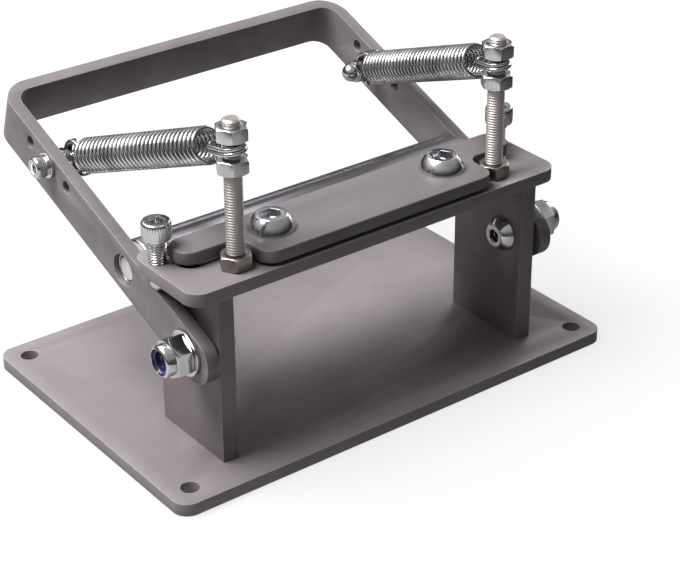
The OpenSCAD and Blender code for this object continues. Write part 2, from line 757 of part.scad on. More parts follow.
module swept_wire(path) {
    last = len(path) - 1;
    along = [for (i = [0 : last]) unit(path[min(i + 1, last)] - path[max(i - 1, 0)])];
    across = carried(along);
    radius = spring_wire / 2;
    points = [
        for (i = [0 : last], k = [0 : wire_sides - 1]) let (a = k * 360 / wire_sides)
            path[i] + radius * (across[i] * cos(a) + cross(along[i], across[i]) * sin(a))
    ];
    faces = [
        for (i = [0 : last - 1], k = [0 : wire_sides - 1])
            let (a = i * wire_sides + k, b = i * wire_sides + (k + 1) % wire_sides)
            each [[a, a + wire_sides, b], [b, a + wire_sides, b + wire_sides]],
        [for (k = [0 : wire_sides - 1]) k],
        [for (k = [wire_sides - 1 : -1 : 0]) last * wire_sides + k]
    ];
    polyhedron(points, faces);
}

module spring(hand) {
    color(bright_steel) swept_wire(wire_path(hand));
}

base_plate();
left() upright();  // left_upright
upright();  // right_upright
base_screws();
top_plate();
top_plate_screws();
clamp_plate();
blade();
left() clamp_screw();  // left_clamp_screw
clamp_screw();  // right_clamp_screw
left() stud();  // left_stud
stud();  // right_stud
left() stud_nut();  // left_stud_nut
stud_nut();  // right_stud_nut
left() spring_lower_nut();  // left_spring_lower_nut
spring_lower_nut();  // right_spring_lower_nut
left() spring_upper_nut();  // left_spring_upper_nut
spring_upper_nut();  // right_spring_upper_nut
left() spring(-1);  // left_spring
spring(1);  // right_spring
left() adjuster_screw();  // left_adjuster_screw
adjuster_screw();  // right_adjuster_screw
handle();
left() pivot_bolt();  // left_pivot_bolt
pivot_bolt();  // right_pivot_bolt
left() pivot_spacer();  // left_pivot_spacer
pivot_spacer();  // right_pivot_spacer
left() pivot_washer();  // left_pivot_washer
pivot_washer();  // right_pivot_washer
left() pivot_nut();  // left_pivot_nut
pivot_nut();  // right_pivot_nut
left() nut_insert();  // left_nut_insert
nut_insert();  // right_nut_insert
roller();
left() roller_bush();  // left_roller_bush
roller_bush();  // right_roller_bush
left() anchor_screw();  // left_anchor_screw
anchor_screw();  // right_anchor_screw
left() anchor_washer();  // left_anchor_washer
anchor_washer();  // right_anchor_washer
left() anchor_jam_nut();  // left_anchor_jam_nut
anchor_jam_nut();  // right_anchor_jam_nut
left() anchor_nut();  // left_anchor_nut
anchor_nut();  // right_anchor_nut
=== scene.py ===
import math

import bmesh
import bpy
from mathutils import Matrix, Vector


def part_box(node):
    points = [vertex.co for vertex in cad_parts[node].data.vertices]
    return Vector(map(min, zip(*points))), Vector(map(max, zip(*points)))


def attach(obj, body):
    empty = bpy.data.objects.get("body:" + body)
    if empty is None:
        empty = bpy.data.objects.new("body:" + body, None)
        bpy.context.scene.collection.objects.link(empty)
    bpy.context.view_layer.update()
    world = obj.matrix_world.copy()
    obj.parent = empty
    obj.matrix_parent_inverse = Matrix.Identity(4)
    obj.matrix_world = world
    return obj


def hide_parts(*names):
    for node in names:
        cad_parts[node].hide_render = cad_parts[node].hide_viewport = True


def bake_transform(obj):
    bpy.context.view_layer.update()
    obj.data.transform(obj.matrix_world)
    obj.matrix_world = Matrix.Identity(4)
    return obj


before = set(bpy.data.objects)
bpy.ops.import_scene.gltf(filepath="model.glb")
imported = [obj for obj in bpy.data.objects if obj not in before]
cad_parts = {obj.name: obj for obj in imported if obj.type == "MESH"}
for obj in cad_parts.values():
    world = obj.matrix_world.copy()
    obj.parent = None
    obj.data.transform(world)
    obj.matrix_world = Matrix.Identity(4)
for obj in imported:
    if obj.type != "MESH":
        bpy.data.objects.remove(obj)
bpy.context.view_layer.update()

# Shapes are worked out in millimetres. Times MM they are in metres, as Blender has them.
MM = 0.001
SIDES = {"left": -1, "right": 1}

# ---------------------------------------------------------------- camera

PICTURE_WIDTH, SENSOR_WIDTH = 680, 36
FOCAL_PIXELS = 1943.331


def aim_camera(place, yaw, pitch, roll):
    """A camera at place, turned by yaw about Z, tilted by pitch and rolled on its line of sight."""
    ahead = Vector((
        math.sin(-yaw) * math.cos(pitch),
        math.cos(yaw) * math.cos(pitch),
        math.sin(pitch),
    ))
    level = ahead.cross(Vector((0, 0, 1))).normalized()
    upright = level.cross(ahead)
    right = level * math.cos(roll) + upright * math.sin(roll)
    up = upright * math.cos(roll) - level * math.sin(roll)
    data = bpy.data.cameras.new("camera")
    data.sensor_width = SENSOR_WIDTH
    data.lens = FOCAL_PIXELS * SENSOR_WIDTH / PICTURE_WIDTH
    data.clip_start, data.clip_end = 0.02, 60
    camera = bpy.data.objects.new("camera", data)
    bpy.context.scene.collection.objects.link(camera)
    turn = Matrix((right, up, -ahead)).transposed().to_4x4()
    camera.matrix_world = Matrix.Translation(place) @ turn
    bpy.context.scene.camera = camera


aim_camera(
    place=Vector((-466.16, -644.99, 478.001)) * MM,
    yaw=math.radians(-37.125), pitch=math.radians(-29.089), roll=math.radians(-0.364),
)

# ---------------------------------------------------------------- node trees

def add(tree, kind, inputs=None, **settings):
    """A new node. inputs gives a named or numbered socket its value or the socket that feeds it."""
    node = tree.nodes.new(kind)
    for name, value in settings.items():
        setattr(node, name, value)
    for key, value in (inputs or {}).items():
        if isinstance(value, bpy.types.NodeSocket):
            tree.links.new(value, node.inputs[key])
        else:
            node.inputs[key].default_value = value
    return node


def math_of(tree, operation, *values, clamp=False):
    inputs = dict(enumerate(values))
    return add(tree, "ShaderNodeMath", inputs, operation=operation, use_clamp=clamp).outputs[0]


def product(tree, first, second):
    return math_of(tree, "MULTIPLY", first, second)


def total(tree, first, second, clamp=False):
    return math_of(tree, "ADD", first, second, clamp=clamp)


# The numbers of a mix node's sockets for colour.
MIX_FACTOR, MIX_FIRST, MIX_SECOND, MIX_RESULT = 0, 6, 7, 2


def mix_colour(tree, share, first, second, blend="MIX"):
    """first where share is 0 and second where it is 1, or the two joined by another blend."""
    inputs = {MIX_FACTOR: share, MIX_FIRST: first, MIX_SECOND: second}
    node = add(tree, "ShaderNodeMix", inputs, data_type="RGBA", blend_type=blend)
    return node.outputs[MIX_RESULT]


def spread(tree, value, low, high, to_low=0.0, to_high=1.0):
    """Carries a value from low..high to to_low..to_high, and holds it there."""
    inputs = {0: value, 1: low, 2: high, 3: to_low, 4: to_high}
    return add(tree, "ShaderNodeMapRange", inputs).outputs[0]


def object_place(tree):
    """Where a point lies on the object itself, in metres."""
    return add(tree, "ShaderNodeTexCoord").outputs["Object"]


def stretched(tree, place, factors):
    inputs = {0: place, 1: factors}
    return add(tree, "ShaderNodeVectorMath", inputs, operation="MULTIPLY").outputs[0]


def new_group(name, inputs, outputs):
    """A shader node group with its sockets, and its input and output nodes."""
    tree = bpy.data.node_groups.new(name, "ShaderNodeTree")
    for socket, kind, value in inputs:
        made = tree.interface.new_socket(socket, in_out="INPUT", socket_type=kind)
        made.default_value = value
    for socket, kind in outputs:
        tree.interface.new_socket(socket, in_out="OUTPUT", socket_type=kind)
    return tree, tree.nodes.new("NodeGroupInput"), tree.nodes.new("NodeGroupOutput")


FLOAT, VECTOR = "NodeSocketFloat", "NodeSocketVector"
# The lowest and highest values that each noise mostly keeps to.
FINE_SPAN, CLOUD_SPAN, BAND_SPAN = (0.3, 0.7), (0.34, 0.66), (0.35, 0.65)


def blasted_surface_group():
    """The matt surface of blasted plate: cloudy patches, a fine grain and a few darker specks."""
    tree, given, out = new_group(
        "blasted_surface",
        [("Cloud Size", FLOAT, 0.03), ("Grain Size", FLOAT, 0.0006), ("Specks", FLOAT, 0.5)],
        [("Clouds", FLOAT), ("Grain", FLOAT), ("Specks", FLOAT)],
    )
    place = object_place(tree)

    def noise(size, detail, rough=0.5, stretch=None):
        return add(tree, "ShaderNodeTexNoise", {
            "Vector": stretched(tree, place, stretch) if stretch else place,
            "Scale": math_of(tree, "DIVIDE", 1.0, size),
            "Detail": detail,
            "Roughness": rough,
        }).outputs["Fac"]

    broad = noise(given.outputs["Cloud Size"], 4, 0.55)
    streaks = noise(given.outputs["Cloud Size"], 5, 0.65, (0.6, 2.4, 1.0))
    clouds = total(tree, product(tree, broad, 0.65), product(tree, streaks, 0.35))
    grain = noise(given.outputs["Grain Size"], 2, 0.6)
    dots = add(tree, "ShaderNodeTexVoronoi", {"Vector": place, "Scale": 420.0}).outputs["Distance"]
    gate = noise(0.006, 1)
    specks = product(tree, spread(tree, dots, 0.0, 0.16, 1, 0), spread(tree, gate, 0.56, 0.66))
    tree.links.new(spread(tree, clouds, *CLOUD_SPAN), out.inputs["Clouds"])
    tree.links.new(grain, out.inputs["Grain"])
    tree.links.new(product(tree, specks, given.outputs["Specks"]), out.inputs["Specks"])
    return tree


def edge_wear_group():
    """A mask that is 1 along outer edges, where handling rubs the finish bright in patches."""
    tree, given, out = new_group(
        "edge_wear",
        [("Reach", FLOAT, 0.0008), ("Patchiness", FLOAT, 0.5)],
        [("Mask", FLOAT)],
    )
    geometry = add(tree, "ShaderNodeNewGeometry")
    rounded = add(tree, "ShaderNodeBevel", {"Radius": given.outputs["Reach"]}, samples=6)
    normals = {0: rounded.outputs[0], 1: geometry.outputs["Normal"]}
    turn = add(tree, "ShaderNodeVectorMath", normals, operation="DOT_PRODUCT").outputs["Value"]
    edge = spread(tree, turn, 0.995, 0.86)
    patches = add(tree, "ShaderNodeTexNoise", {
        "Vector": object_place(tree), "Scale": 260.0, "Detail": 3.0,
    }).outputs["Fac"]
    unrubbed = math_of(tree, "SUBTRACT", 1.0, spread(tree, patches, 0.35, 0.6))
    kept = math_of(tree, "SUBTRACT", 1.0, product(tree, given.outputs["Patchiness"], unrubbed))
    tree.links.new(math_of(tree, "MULTIPLY", edge, kept, clamp=True), out.inputs["Mask"])
    return tree


def tool_marks_group():
    """Fine parallel tool marks, long where Stretch is small, and the broader bands they lie in."""
    tree, given, out = new_group(
        "tool_marks",
        [("Stretch", VECTOR, (1, 1, 1)), ("Fineness", FLOAT, 900.0)],
        [("Lines", FLOAT), ("Bands", FLOAT)],
    )
    at = stretched(tree, object_place(tree), given.outputs["Stretch"])
    lines = add(tree, "ShaderNodeTexNoise", {
        "Vector": at, "Scale": given.outputs["Fineness"], "Detail": 3.0, "Roughness": 0.6,
    }).outputs["Fac"]
    bands = add(tree, "ShaderNodeTexNoise", {
        "Vector": at, "Scale": product(tree, given.outputs["Fineness"], 0.12), "Detail": 2.0,
    }).outputs["Fac"]
    tree.links.new(lines, out.inputs["Lines"])
    tree.links.new(bands, out.inputs["Bands"])
    return tree


BLASTED = blasted_surface_group()
WEAR = edge_wear_group()
MARKS = tool_marks_group()
RUBBED_METAL = (0.86, 0.86, 0.86, 1)
SPECK_SHADE = 0.45


def colour(red, green, blue):
    """A linear colour from the usual 0 to 255 values."""
    def linear(value):
        value /= 255
        return value / 12.92 if value <= 0.04045 else ((value + 0.055) / 1.055) ** 2.4
    return (linear(red), linear(green), linear(blue), 1.0)


def new_material(name, **constants):
    """A material with one Principled shader. constants hold all over its surface."""
    material = bpy.data.materials.new(name)
    material.use_nodes = True
    tree = material.node_tree
    shader = tree.nodes["Principled BSDF"]
    for socket, value in constants.items():
        shader.inputs[socket.replace("_", " ")].default_value = value
    return material, tree, shader


def group_in(tree, group, **values):
    """One of the shared groups, placed in a material with that material's own values."""
    node = tree.nodes.new("ShaderNodeGroup")
    node.node_tree = group
    for name, value in values.items():
        node.inputs[name.replace("_", " ")].default_value = value
    return node


def bump(tree, shader, height, strength, distance):
    """Gives a shader the relief of a height."""
    inputs = {"Height": height, "Strength": strength, "Distance": distance}
    tree.links.new(add(tree, "ShaderNodeBump", inputs).outputs[0], shader.inputs["Normal"])


def plate_finish(name, dark, light, rubbed, roughness=0.52, cloud_size=0.03, marks=None):
    """Blasted steel plate with cloudy patches, grain, and edges rubbed bright."""
    material, tree, shader = new_material(name, Metallic=0.2, IOR=1.45)
    surface = group_in(tree, BLASTED, Cloud_Size=cloud_size, Grain_Size=0.0005, Specks=0.6)
    wear = group_in(tree, WEAR, Reach=0.0007, Patchiness=0.55)
    body = mix_colour(tree, surface.outputs["Clouds"], dark, light)
    grain = spread(tree, surface.outputs["Grain"], *FINE_SPAN, 0.93, 1.07)
    body = mix_colour(tree, 1.0, body, grain, "MULTIPLY")
    speck = tuple(part * SPECK_SHADE for part in dark[:3]) + (1,)
    body = mix_colour(tree, surface.outputs["Specks"], body, speck)
    body = mix_colour(tree, product(tree, wear.outputs["Mask"], 0.75), body, rubbed)
    tree.links.new(body, shader.inputs["Base Color"])
    rough = total(
        tree,
        spread(tree, surface.outputs["Clouds"], 0, 1, roughness + 0.06, roughness - 0.06),
        spread(tree, surface.outputs["Grain"], *FINE_SPAN, -0.05, 0.05),
    )
    rubbed_smooth = product(tree, wear.outputs["Mask"], 0.14)
    rough = math_of(tree, "SUBTRACT", rough, rubbed_smooth, clamp=True)
    height = surface.outputs["Grain"]
    if marks:
        lines = group_in(tree, MARKS, Stretch=marks, Fineness=700.0)
        height = total(tree, height, product(tree, lines.outputs["Lines"], 0.8))
        bands = spread(tree, lines.outputs["Bands"], *BAND_SPAN, -0.05, 0.05)
        rough = total(tree, rough, bands, clamp=True)
    tree.links.new(rough, shader.inputs["Roughness"])
    bump(tree, shader, height, strength=0.35, distance=0.00012)
    return material


def metal_finish(name, tone, deeper, roughness, stretch, fineness,
                 bump_strength=0.2, variation=0.06, end_highlight_tone=None):
    """Bare or plated metal with fine tool marks; deeper is the tone in the bands between them.
    With an end tone, faces square to X are matt, as a turned shaft's ends are, and of that tone,
    which is a painted highlight."""
    material, tree, shader = new_material(name, Metallic=1.0)
    lines = group_in(tree, MARKS, Stretch=stretch, Fineness=fineness)
    surface = group_in(tree, BLASTED, Cloud_Size=0.006, Grain_Size=0.0003, Specks=0.15)
    wear = group_in(tree, WEAR, Reach=0.0003, Patchiness=0.4)
    body = mix_colour(tree, spread(tree, lines.outputs["Bands"], *BAND_SPAN), deeper, tone)
    body = mix_colour(tree, product(tree, surface.outputs["Clouds"], 0.25), body, deeper)
    body = mix_colour(tree, product(tree, wear.outputs["Mask"], 0.4), body, RUBBED_METAL)
    smoothest, roughest = roughness - variation, roughness + variation
    rough = total(
        tree,
        spread(tree, lines.outputs["Lines"], *FINE_SPAN, smoothest, roughest),
        spread(tree, surface.outputs["Clouds"], 0, 1, -variation / 2, variation / 2),
        clamp=True,
    )
    # Faces square to X: matt as faced ends are, and given a lighter tone as a painted highlight.
    if end_highlight_tone:
        normal = add(tree, "ShaderNodeNewGeometry").outputs["Normal"]
        facing = add(tree, "ShaderNodeSeparateXYZ", {0: normal}).outputs[0]
        end = spread(tree, math_of(tree, "ABSOLUTE", facing), 0.93, 0.98)
        body = mix_colour(tree, end, body, end_highlight_tone)
        rough = total(tree, rough, product(tree, end, 0.25), clamp=True)
        tree.links.new(spread(tree, end, 0, 1, 1.0, 0.2), shader.inputs["Metallic"])
    tree.links.new(body, shader.inputs["Base Color"])
    tree.links.new(rough, shader.inputs["Roughness"])
    bump(tree, shader, lines.outputs["Lines"], bump_strength, distance=0.00005)
    return material


def nylon_finish():
    """The dark blue-violet ring of a locking nut."""
    material, tree, shader = new_material("nylon_ring", Metallic=0.0, Specular_IOR_Level=0.5)
    surface = group_in(tree, BLASTED, Cloud_Size=0.003, Grain_Size=0.0004, Specks=0.0)
    body = mix_colour(tree, surface.outputs["Clouds"], colour(24, 18, 62), colour(42, 34, 104))
    tree.links.new(body, shader.inputs["Base Color"])
    rough = spread(tree, surface.outputs["Grain"], *FINE_SPAN, 0.28, 0.42)
    tree.links.new(rough, shader.inputs["Roughness"])
    bump(tree, shader, surface.outputs["Grain"], strength=0.15, distance=0.0001)
    return material


# Plate: the two tones of its clouds, and the tone of its rubbed edges.
PLATE = plate_finish(
    "phosphated_plate", colour(134, 126, 128), colour(143, 135, 138), colour(198, 193, 196),
)
# The clamp plate is the plate's own phosphated steel, painted darker all over: painted shade.
CLAMP_PAINTED_SHADE = plate_finish(
    "phosphated_clamp_painted_shade", colour(112, 106, 108), colour(124, 117, 120), colour(182, 177, 180),
)
ARM = plate_finish(
    "phosphated_bar", colour(118, 111, 112), colour(134, 128, 129), colour(200, 196, 198),
    roughness=0.42, cloud_size=0.024, marks=(1.0, 0.08, 1.0),
)
# Metal: its tone, the tone between its marks, roughness, and how its marks are stretched and fine.
BLADE = metal_finish(
    "ground_blade", colour(136, 132, 139), colour(126, 122, 129), 0.4, (0.03, 1.0, 1.0), 1500.0,
    bump_strength=0.06, variation=0.03,
)
# The roller's ends are painted lighter than its body: a painted highlight.
ROLLER = metal_finish(
    "turned_roller", colour(200, 199, 201), colour(168, 167, 169), 0.28, (1.0, 0.02, 0.02), 1800.0,
    end_highlight_tone=colour(232, 227, 229),
)
ZINC = metal_finish(
    "bright_zinc", colour(206, 206, 208), colour(176, 176, 180), 0.17, (1.0, 1.0, 0.5), 800.0,
    bump_strength=0.08,
)
SPRING = metal_finish(
    "drawn_wire", colour(200, 199, 200), colour(150, 148, 150), 0.16, (1.0, 1.0, 1.0), 500.0,
    bump_strength=0.08,
)
BUSH = metal_finish(
    "turned_bush", colour(196, 194, 195), colour(160, 158, 159), 0.34, (1.0, 0.1, 0.1), 1200.0,
)
SATIN = metal_finish(
    "satin_steel", colour(200, 193, 190), colour(176, 169, 166), 0.5, (1.0, 1.0, 0.4), 900.0,
    bump_strength=0.12,
)
DULL = metal_finish(
    "dull_steel", colour(150, 143, 139), colour(122, 115, 112), 0.3, (1.0, 1.0, 0.4), 900.0,
    bump_strength=0.12,
)
BLACK = metal_finish(
    "black_screw", colour(44, 43, 44), colour(26, 26, 27), 0.3, (1.0, 1.0, 1.0), 1200.0,
    bump_strength=0.1,
)
NYLON = nylon_finish()

# ---------------------------------------------------------------- mesh helpers

# Points this near are one point, and faces that turn less than this are one face.
CAD_POINT_GAP, RING_POINT_GAP = 2e-6, 1e-7
CAD_FACE_TURN = math.radians(0.4)
# A hexagon's corners are cut to this share of their reach.
CORNER_REACH = 0.985
# A thread's depth, crest and flank as shares of its pitch, and the rings that one pitch takes.
THREAD_DEPTH, THREAD_CREST, THREAD_FLANK, THREAD_RINGS = 0.58, 0.14, 0.72, 8


def place_piece(name, mesh, material, body, nodes):
    """Links a finished mesh as a piece: its material, its body and what it stands for.
    A piece given no body rides on none."""
    piece = bpy.data.objects.new(name, mesh)
    bpy.context.scene.collection.objects.link(piece)
    mesh.materials.clear()
    mesh.materials.append(material)
    if body:
        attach(piece, body)
    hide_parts(*nodes)
    return piece


def eased_copy(node, body, material, ease, segments=3, limit=30):
    """A CAD piece whose sharp edges are eased by a small round, so that they catch the light. ease is
    its width in millimetres, in that many segments, on edges that turn by more than limit degrees."""
    shape = bmesh.new()
    shape.from_mesh(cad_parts[node].data)
    bmesh.ops.remove_doubles(shape, verts=shape.verts, dist=CAD_POINT_GAP)
    bmesh.ops.dissolve_limit(
        shape, angle_limit=CAD_FACE_TURN, verts=shape.verts, edges=shape.edges,
    )
    mesh = bpy.data.meshes.new(node + "_mesh")
    shape.to_mesh(mesh)
    shape.free()
    mesh.shade_smooth()
    piece = place_piece(node + "_finished", mesh, material, body, [node])
    if ease:
        bevel = piece.modifiers.new("eased edges", "BEVEL")
        bevel.width = ease * MM
        bevel.segments = segments
        bevel.limit_method = "ANGLE"
        bevel.angle_limit = math.radians(limit)
        bevel.harden_normals = True
    return piece


def mesh_of_rings(name, rings, sharp=35, at=None):
    """A surface through rings of as many points each, in millimetres, closed at both ends."""
    count = len(rings[0])
    shape = bmesh.new()
    rows = [[shape.verts.new(Vector(p) * MM) for p in ring] for ring in rings]
    for a, b in zip(rows, rows[1:]):
        for i in range(count):
            j = (i + 1) % count
            shape.faces.new((a[i], a[j], b[j], b[i]))
    for row, flip in ((rows[0], True), (rows[-1], False)):
        centre = shape.verts.new(sum((v.co for v in row), Vector()) / count)
        for i in range(count):
            j = (i + 1) % count
            shape.faces.new((centre, row[j], row[i]) if flip else (centre, row[i], row[j]))
    bmesh.ops.remove_doubles(shape, verts=shape.verts, dist=RING_POINT_GAP)
    bmesh.ops.recalc_face_normals(shape, faces=shape.faces)
    if at:
        shape.transform(at)
    mesh = bpy.data.meshes.new(name + "_mesh")
    shape.to_mesh(mesh)
    shape.free()
    mesh.shade_smooth()
    mesh.set_sharp_from_angle(angle=math.radians(sharp))
    return mesh


def circle(radius, z, count):
    """A ring of points at a height, as mesh_of_rings takes it."""
    step = 2 * math.pi / count
    return [(radius * math.cos(i * step), radius * math.sin(i * step), z) for i in range(count)]


def hexagon(flats, z, count):
    """A ring of points round a hexagon with its corners just rounded."""
    ring = []
    for i in range(count):
        turn = 2 * math.pi * i / count
        off = (turn + math.pi / 6) % (math.pi / 3) - math.pi / 6
        radius = min(flats / 2 / math.cos(off), flats / math.sqrt(3) * CORNER_REACH)
        at = turn + math.pi / 6
        ring.append((radius * math.cos(at), radius * math.sin(at), z))
    return ring


def thread_rings(radius, pitch, z_from, z_to, count, cut):
    """Rings of a threaded shank. cut(z) is how deep the thread is at that height, from 0 to 1."""
    depth = THREAD_DEPTH * pitch
    steps = max(2, round((z_to - z_from) / pitch * THREAD_RINGS))
    rings = []
    for k in range(steps + 1):
        z = z_from + (z_to - z_from) * k / steps
        ring = []
        for i in range(count):
            turn = i / count
            phase = (z / pitch - turn) % 1.0
            groove = min(max((abs(2 * phase - 1) - THREAD_CREST) / THREAD_FLANK, 0), 1)
            r = radius - depth * groove * cut(z)
            ring.append((r * math.cos(2 * math.pi * turn), r * math.sin(2 * math.pi * turn), z))
        rings.append(ring)
    return rings


def along_x(x, y, z, side):
    """Turns a piece made along Z to point outwards along X, at a place in millimetres."""
    return Matrix.Translation(Vector((x, y, z)) * MM) @ Matrix.Rotation(side * math.pi / 2, 4, "Y")


X, Y, Z = 0, 1, 2


def low(node, axis):
    """The lowest place of a CAD node along an axis, in millimetres."""
    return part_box(node)[0][axis] / MM


def high(node, axis):
    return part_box(node)[1][axis] / MM


def mid(node, axis):
    return (low(node, axis) + high(node, axis)) / 2


# ---------------------------------------------------------------- plates, uprights, handle, blade

eased_copy("base_plate", "frame", PLATE, 0.6)
for side in SIDES:
    eased_copy(side + "_upright", "frame", PLATE, 0.45)
eased_copy("top_plate", "frame", PLATE, 0.6)
eased_copy("clamp_plate", "frame", CLAMP_PAINTED_SHADE, 0.6)
eased_copy("handle", "handle", ARM, 0.6)
eased_copy("blade", "frame", BLADE, 0.0)
eased_copy("roller", "roller", ROLLER, 0.2, 2)
eased_copy("base_screws", "frame", BLACK, 0.12, 2)
eased_copy("top_plate_screws", "frame", BLACK, 0.12, 2)

# ---------------------------------------------------------------- nuts, washers, bushes and bolts

for side in SIDES:
    eased_copy(side + "_stud_nut", "frame", DULL, 0.16, 2, 12)
    for part in ("spring_lower_nut", "spring_upper_nut"):
        eased_copy(f"{side}_{part}", "frame", ZINC, 0.16, 2, 12)
    for part in ("pivot_bolt", "pivot_spacer", "pivot_washer", "pivot_nut"):
        eased_copy(f"{side}_{part}", "frame", ZINC, 0.2, 2, 25)
    eased_copy(side + "_clamp_screw", "frame", ZINC, 0.1, 2, 25)
    eased_copy(side + "_nut_insert", "frame", NYLON, 0.3, 3)
    eased_copy(side + "_roller_bush", "handle", BUSH, 0.15, 2)
    for part in ("anchor_washer", "anchor_jam_nut", "anchor_nut"):
        eased_copy(f"{side}_{part}", "handle", ZINC, 0.15, 2, 12)

# ---------------------------------------------------------------- studs and screws

SCREW_POINTS, KNURL_RIDGES, KNURL_DEPTH = 144, 36, 0.14
BALL_TIP_ANGLES = (4, 12, 22, 33, 45, 57, 69, 80)


def ramp(value, start, end):
    """0 at start and 1 at end, and held there beyond."""
    return min(max((value - start) / (end - start), 0.0), 1.0)


def make_stud(side):
    """A stud threaded over its whole length, with chamfered ends."""
    node = side + "_stud"
    foot, top = low(node, Z), high(node, Z)
    radius = (high(node, X) - low(node, X)) / 2
    count, pitch, share = 40, 1.25, 0.5
    end_radius, chamfer, run_out = radius - 0.9, 0.7, 1.2

    def cut(z):
        return share * ramp(z, foot, foot + run_out) * ramp(z, top, top - run_out)

    rings = [circle(end_radius, foot, count)]
    rings += thread_rings(radius, pitch, foot + chamfer, top - chamfer, count, cut)
    rings += [circle(end_radius, top, count), circle(radius / 2, top, count)]
    place = Vector((mid(node, X), mid(node, Y), 0)) * MM
    mesh = mesh_of_rings(node, rings, at=Matrix.Translation(place))
    place_piece(node + "_finished", mesh, SATIN, "frame", [node])


def cap_head_rings(radius, height, flats, count):
    """A socket head from its seat up: knurled side, chamfer, and the socket down to its cone."""
    def turned(*profile):
        return [circle(r, z, count) for r, z in profile]

    def knurled(z):
        ring = []
        for i in range(count):
            turn = 2 * math.pi * i / count
            groove = (0.5 + 0.5 * math.cos(KNURL_RIDGES * turn)) ** 1.5
            r = radius - KNURL_DEPTH * groove
            ring.append((r * math.cos(turn), r * math.sin(turn), z))
        return ring

    bottom = height * 0.5
    rings = turned((radius - 0.5, 0), (radius - 0.25, 0.12), (radius - 0.2, 0.9))
    rings += [knurled(1.1), knurled(height - 1.3)]
    rings += turned(
        (radius - 0.12, height - 1.1), (radius - 0.3, height - 0.5),
        (radius - 0.62, height - 0.12), (radius - 1.0, height), (radius - 1.1, height),
        (flats * 0.7, height), (flats * 0.66, height),
    )
    rings += [
        hexagon(flats * 1.04, height - 0.12, count), hexagon(flats, height - 0.3, count),
        hexagon(flats, bottom, count),
    ]
    return rings + turned((flats * 0.46, bottom), (0.2, bottom - flats * 0.2))


def make_cap_screw(node, body, at, length, radius, pitch, head_radius, head_height, ball=False):
    """A socket head cap screw with its seat at 0 before it is placed, a rolled thread and,
    if asked, a ball tip."""
    count, tip = SCREW_POINTS, -length
    if ball:
        rings = [
            circle(radius * math.sin(a), tip + radius * (1 - math.cos(a)), count)
            for a in map(math.radians, BALL_TIP_ANGLES)
        ]
        start = tip + radius + 0.3
    else:
        rings = [circle(radius - 0.7, tip, count)]
        start = tip + 0.6
    end, run_out = -1.2, 1.4

    def cut(z):
        return ramp(z, start, start + run_out) * ramp(z, end, end - run_out)

    rings += thread_rings(radius, pitch, start, end, count, cut)
    rings += [circle(radius, -0.3, count), circle(radius + 0.15, 0, count)]
    rings += cap_head_rings(head_radius, head_height, radius * 1.5, count)
    mesh = mesh_of_rings(node, rings, at=at)
    place_piece(node + "_finished", mesh, ZINC, body, [node])


for side, sign in SIDES.items():
    make_stud(side)
    node, head_height = side + "_adjuster_screw", 8.0
    seat = high(node, Z) - head_height
    make_cap_screw(
        node, side + "_adjuster",
        at=Matrix.Translation(Vector((mid(node, X), mid(node, Y), seat)) * MM),
        length=seat - low(node, Z), radius=4.0, pitch=1.25,
        head_radius=6.5, head_height=head_height, ball=True,
    )
    node, head_height = side + "_anchor_screw", 6.0
    outer, inner = (high(node, X), low(node, X)) if sign > 0 else (low(node, X), high(node, X))
    seat = outer - sign * head_height
    make_cap_screw(
        node, "handle",
        at=along_x(seat, mid(node, Y), mid(node, Z), sign),
        length=abs(seat - inner), radius=3.0, pitch=1.0,
        head_radius=5.0, head_height=head_height,
    )

# ---------------------------------------------------------------- springs

WIRE, SPRING_DIAMETER, SPRING_PITCH = 2.0, 16.5, 3.0
SPRING_TAIL, SPRING_NOSE, SPRING_LIFT = 12.0, 16.0, 2.3
LOOP_TURNS, LOOP_PITCH = 1.5, 1.06
STUD_LOOP_STRETCH, STUD_LOOP_TILT, STUD_LOOP_FIRST = 7.0, math.radians(8), 30
STUD_RADIUS, ANCHOR_RADIUS, LOOP_GAP, BEND_REACH = 4, 3, 0.4, 5
COIL_STEPS, LOOP_STEPS, BEND_STEPS, WIRE_SIDES = 28, 36, 12, 14


def across(vector, axis):
    """What is left of a vector without its share along an axis."""
    return vector - axis * vector.dot(axis)


def loop_points(centre, out, side, rise, radius, stretch, first):
    """A loop's turns about centre from the angle first, drawn out by stretch on its outer half
    and climbing by rise in each turn."""
    points = []
    for i in range(math.floor(LOOP_TURNS * LOOP_STEPS) + 1):
        a = math.radians(first + i * 360 / LOOP_STEPS)
        reach = radius * math.cos(a) + (stretch if math.cos(a) > 0.01 else 0)
        climb = rise * (i / LOOP_STEPS - LOOP_TURNS / 2)
        points.append(centre + out * reach + side * radius * math.sin(a) + climb)
    return points


def bend_between(a, b):
    """The bend that leads from the last point of a to the first of b."""
    p0, p1 = a[-1], a[-1] + (a[-1] - a[-2]).normalized() * BEND_REACH
    p2, p3 = b[0] - (b[1] - b[0]).normalized() * BEND_REACH, b[0]
    found = []
    for i in range(1, BEND_STEPS):
        t = i / BEND_STEPS
        s = 1 - t
        found.append(s ** 3 * p0 + 3 * s * s * t * p1 + 3 * s * t * t * p2 + t ** 3 * p3)
    return found


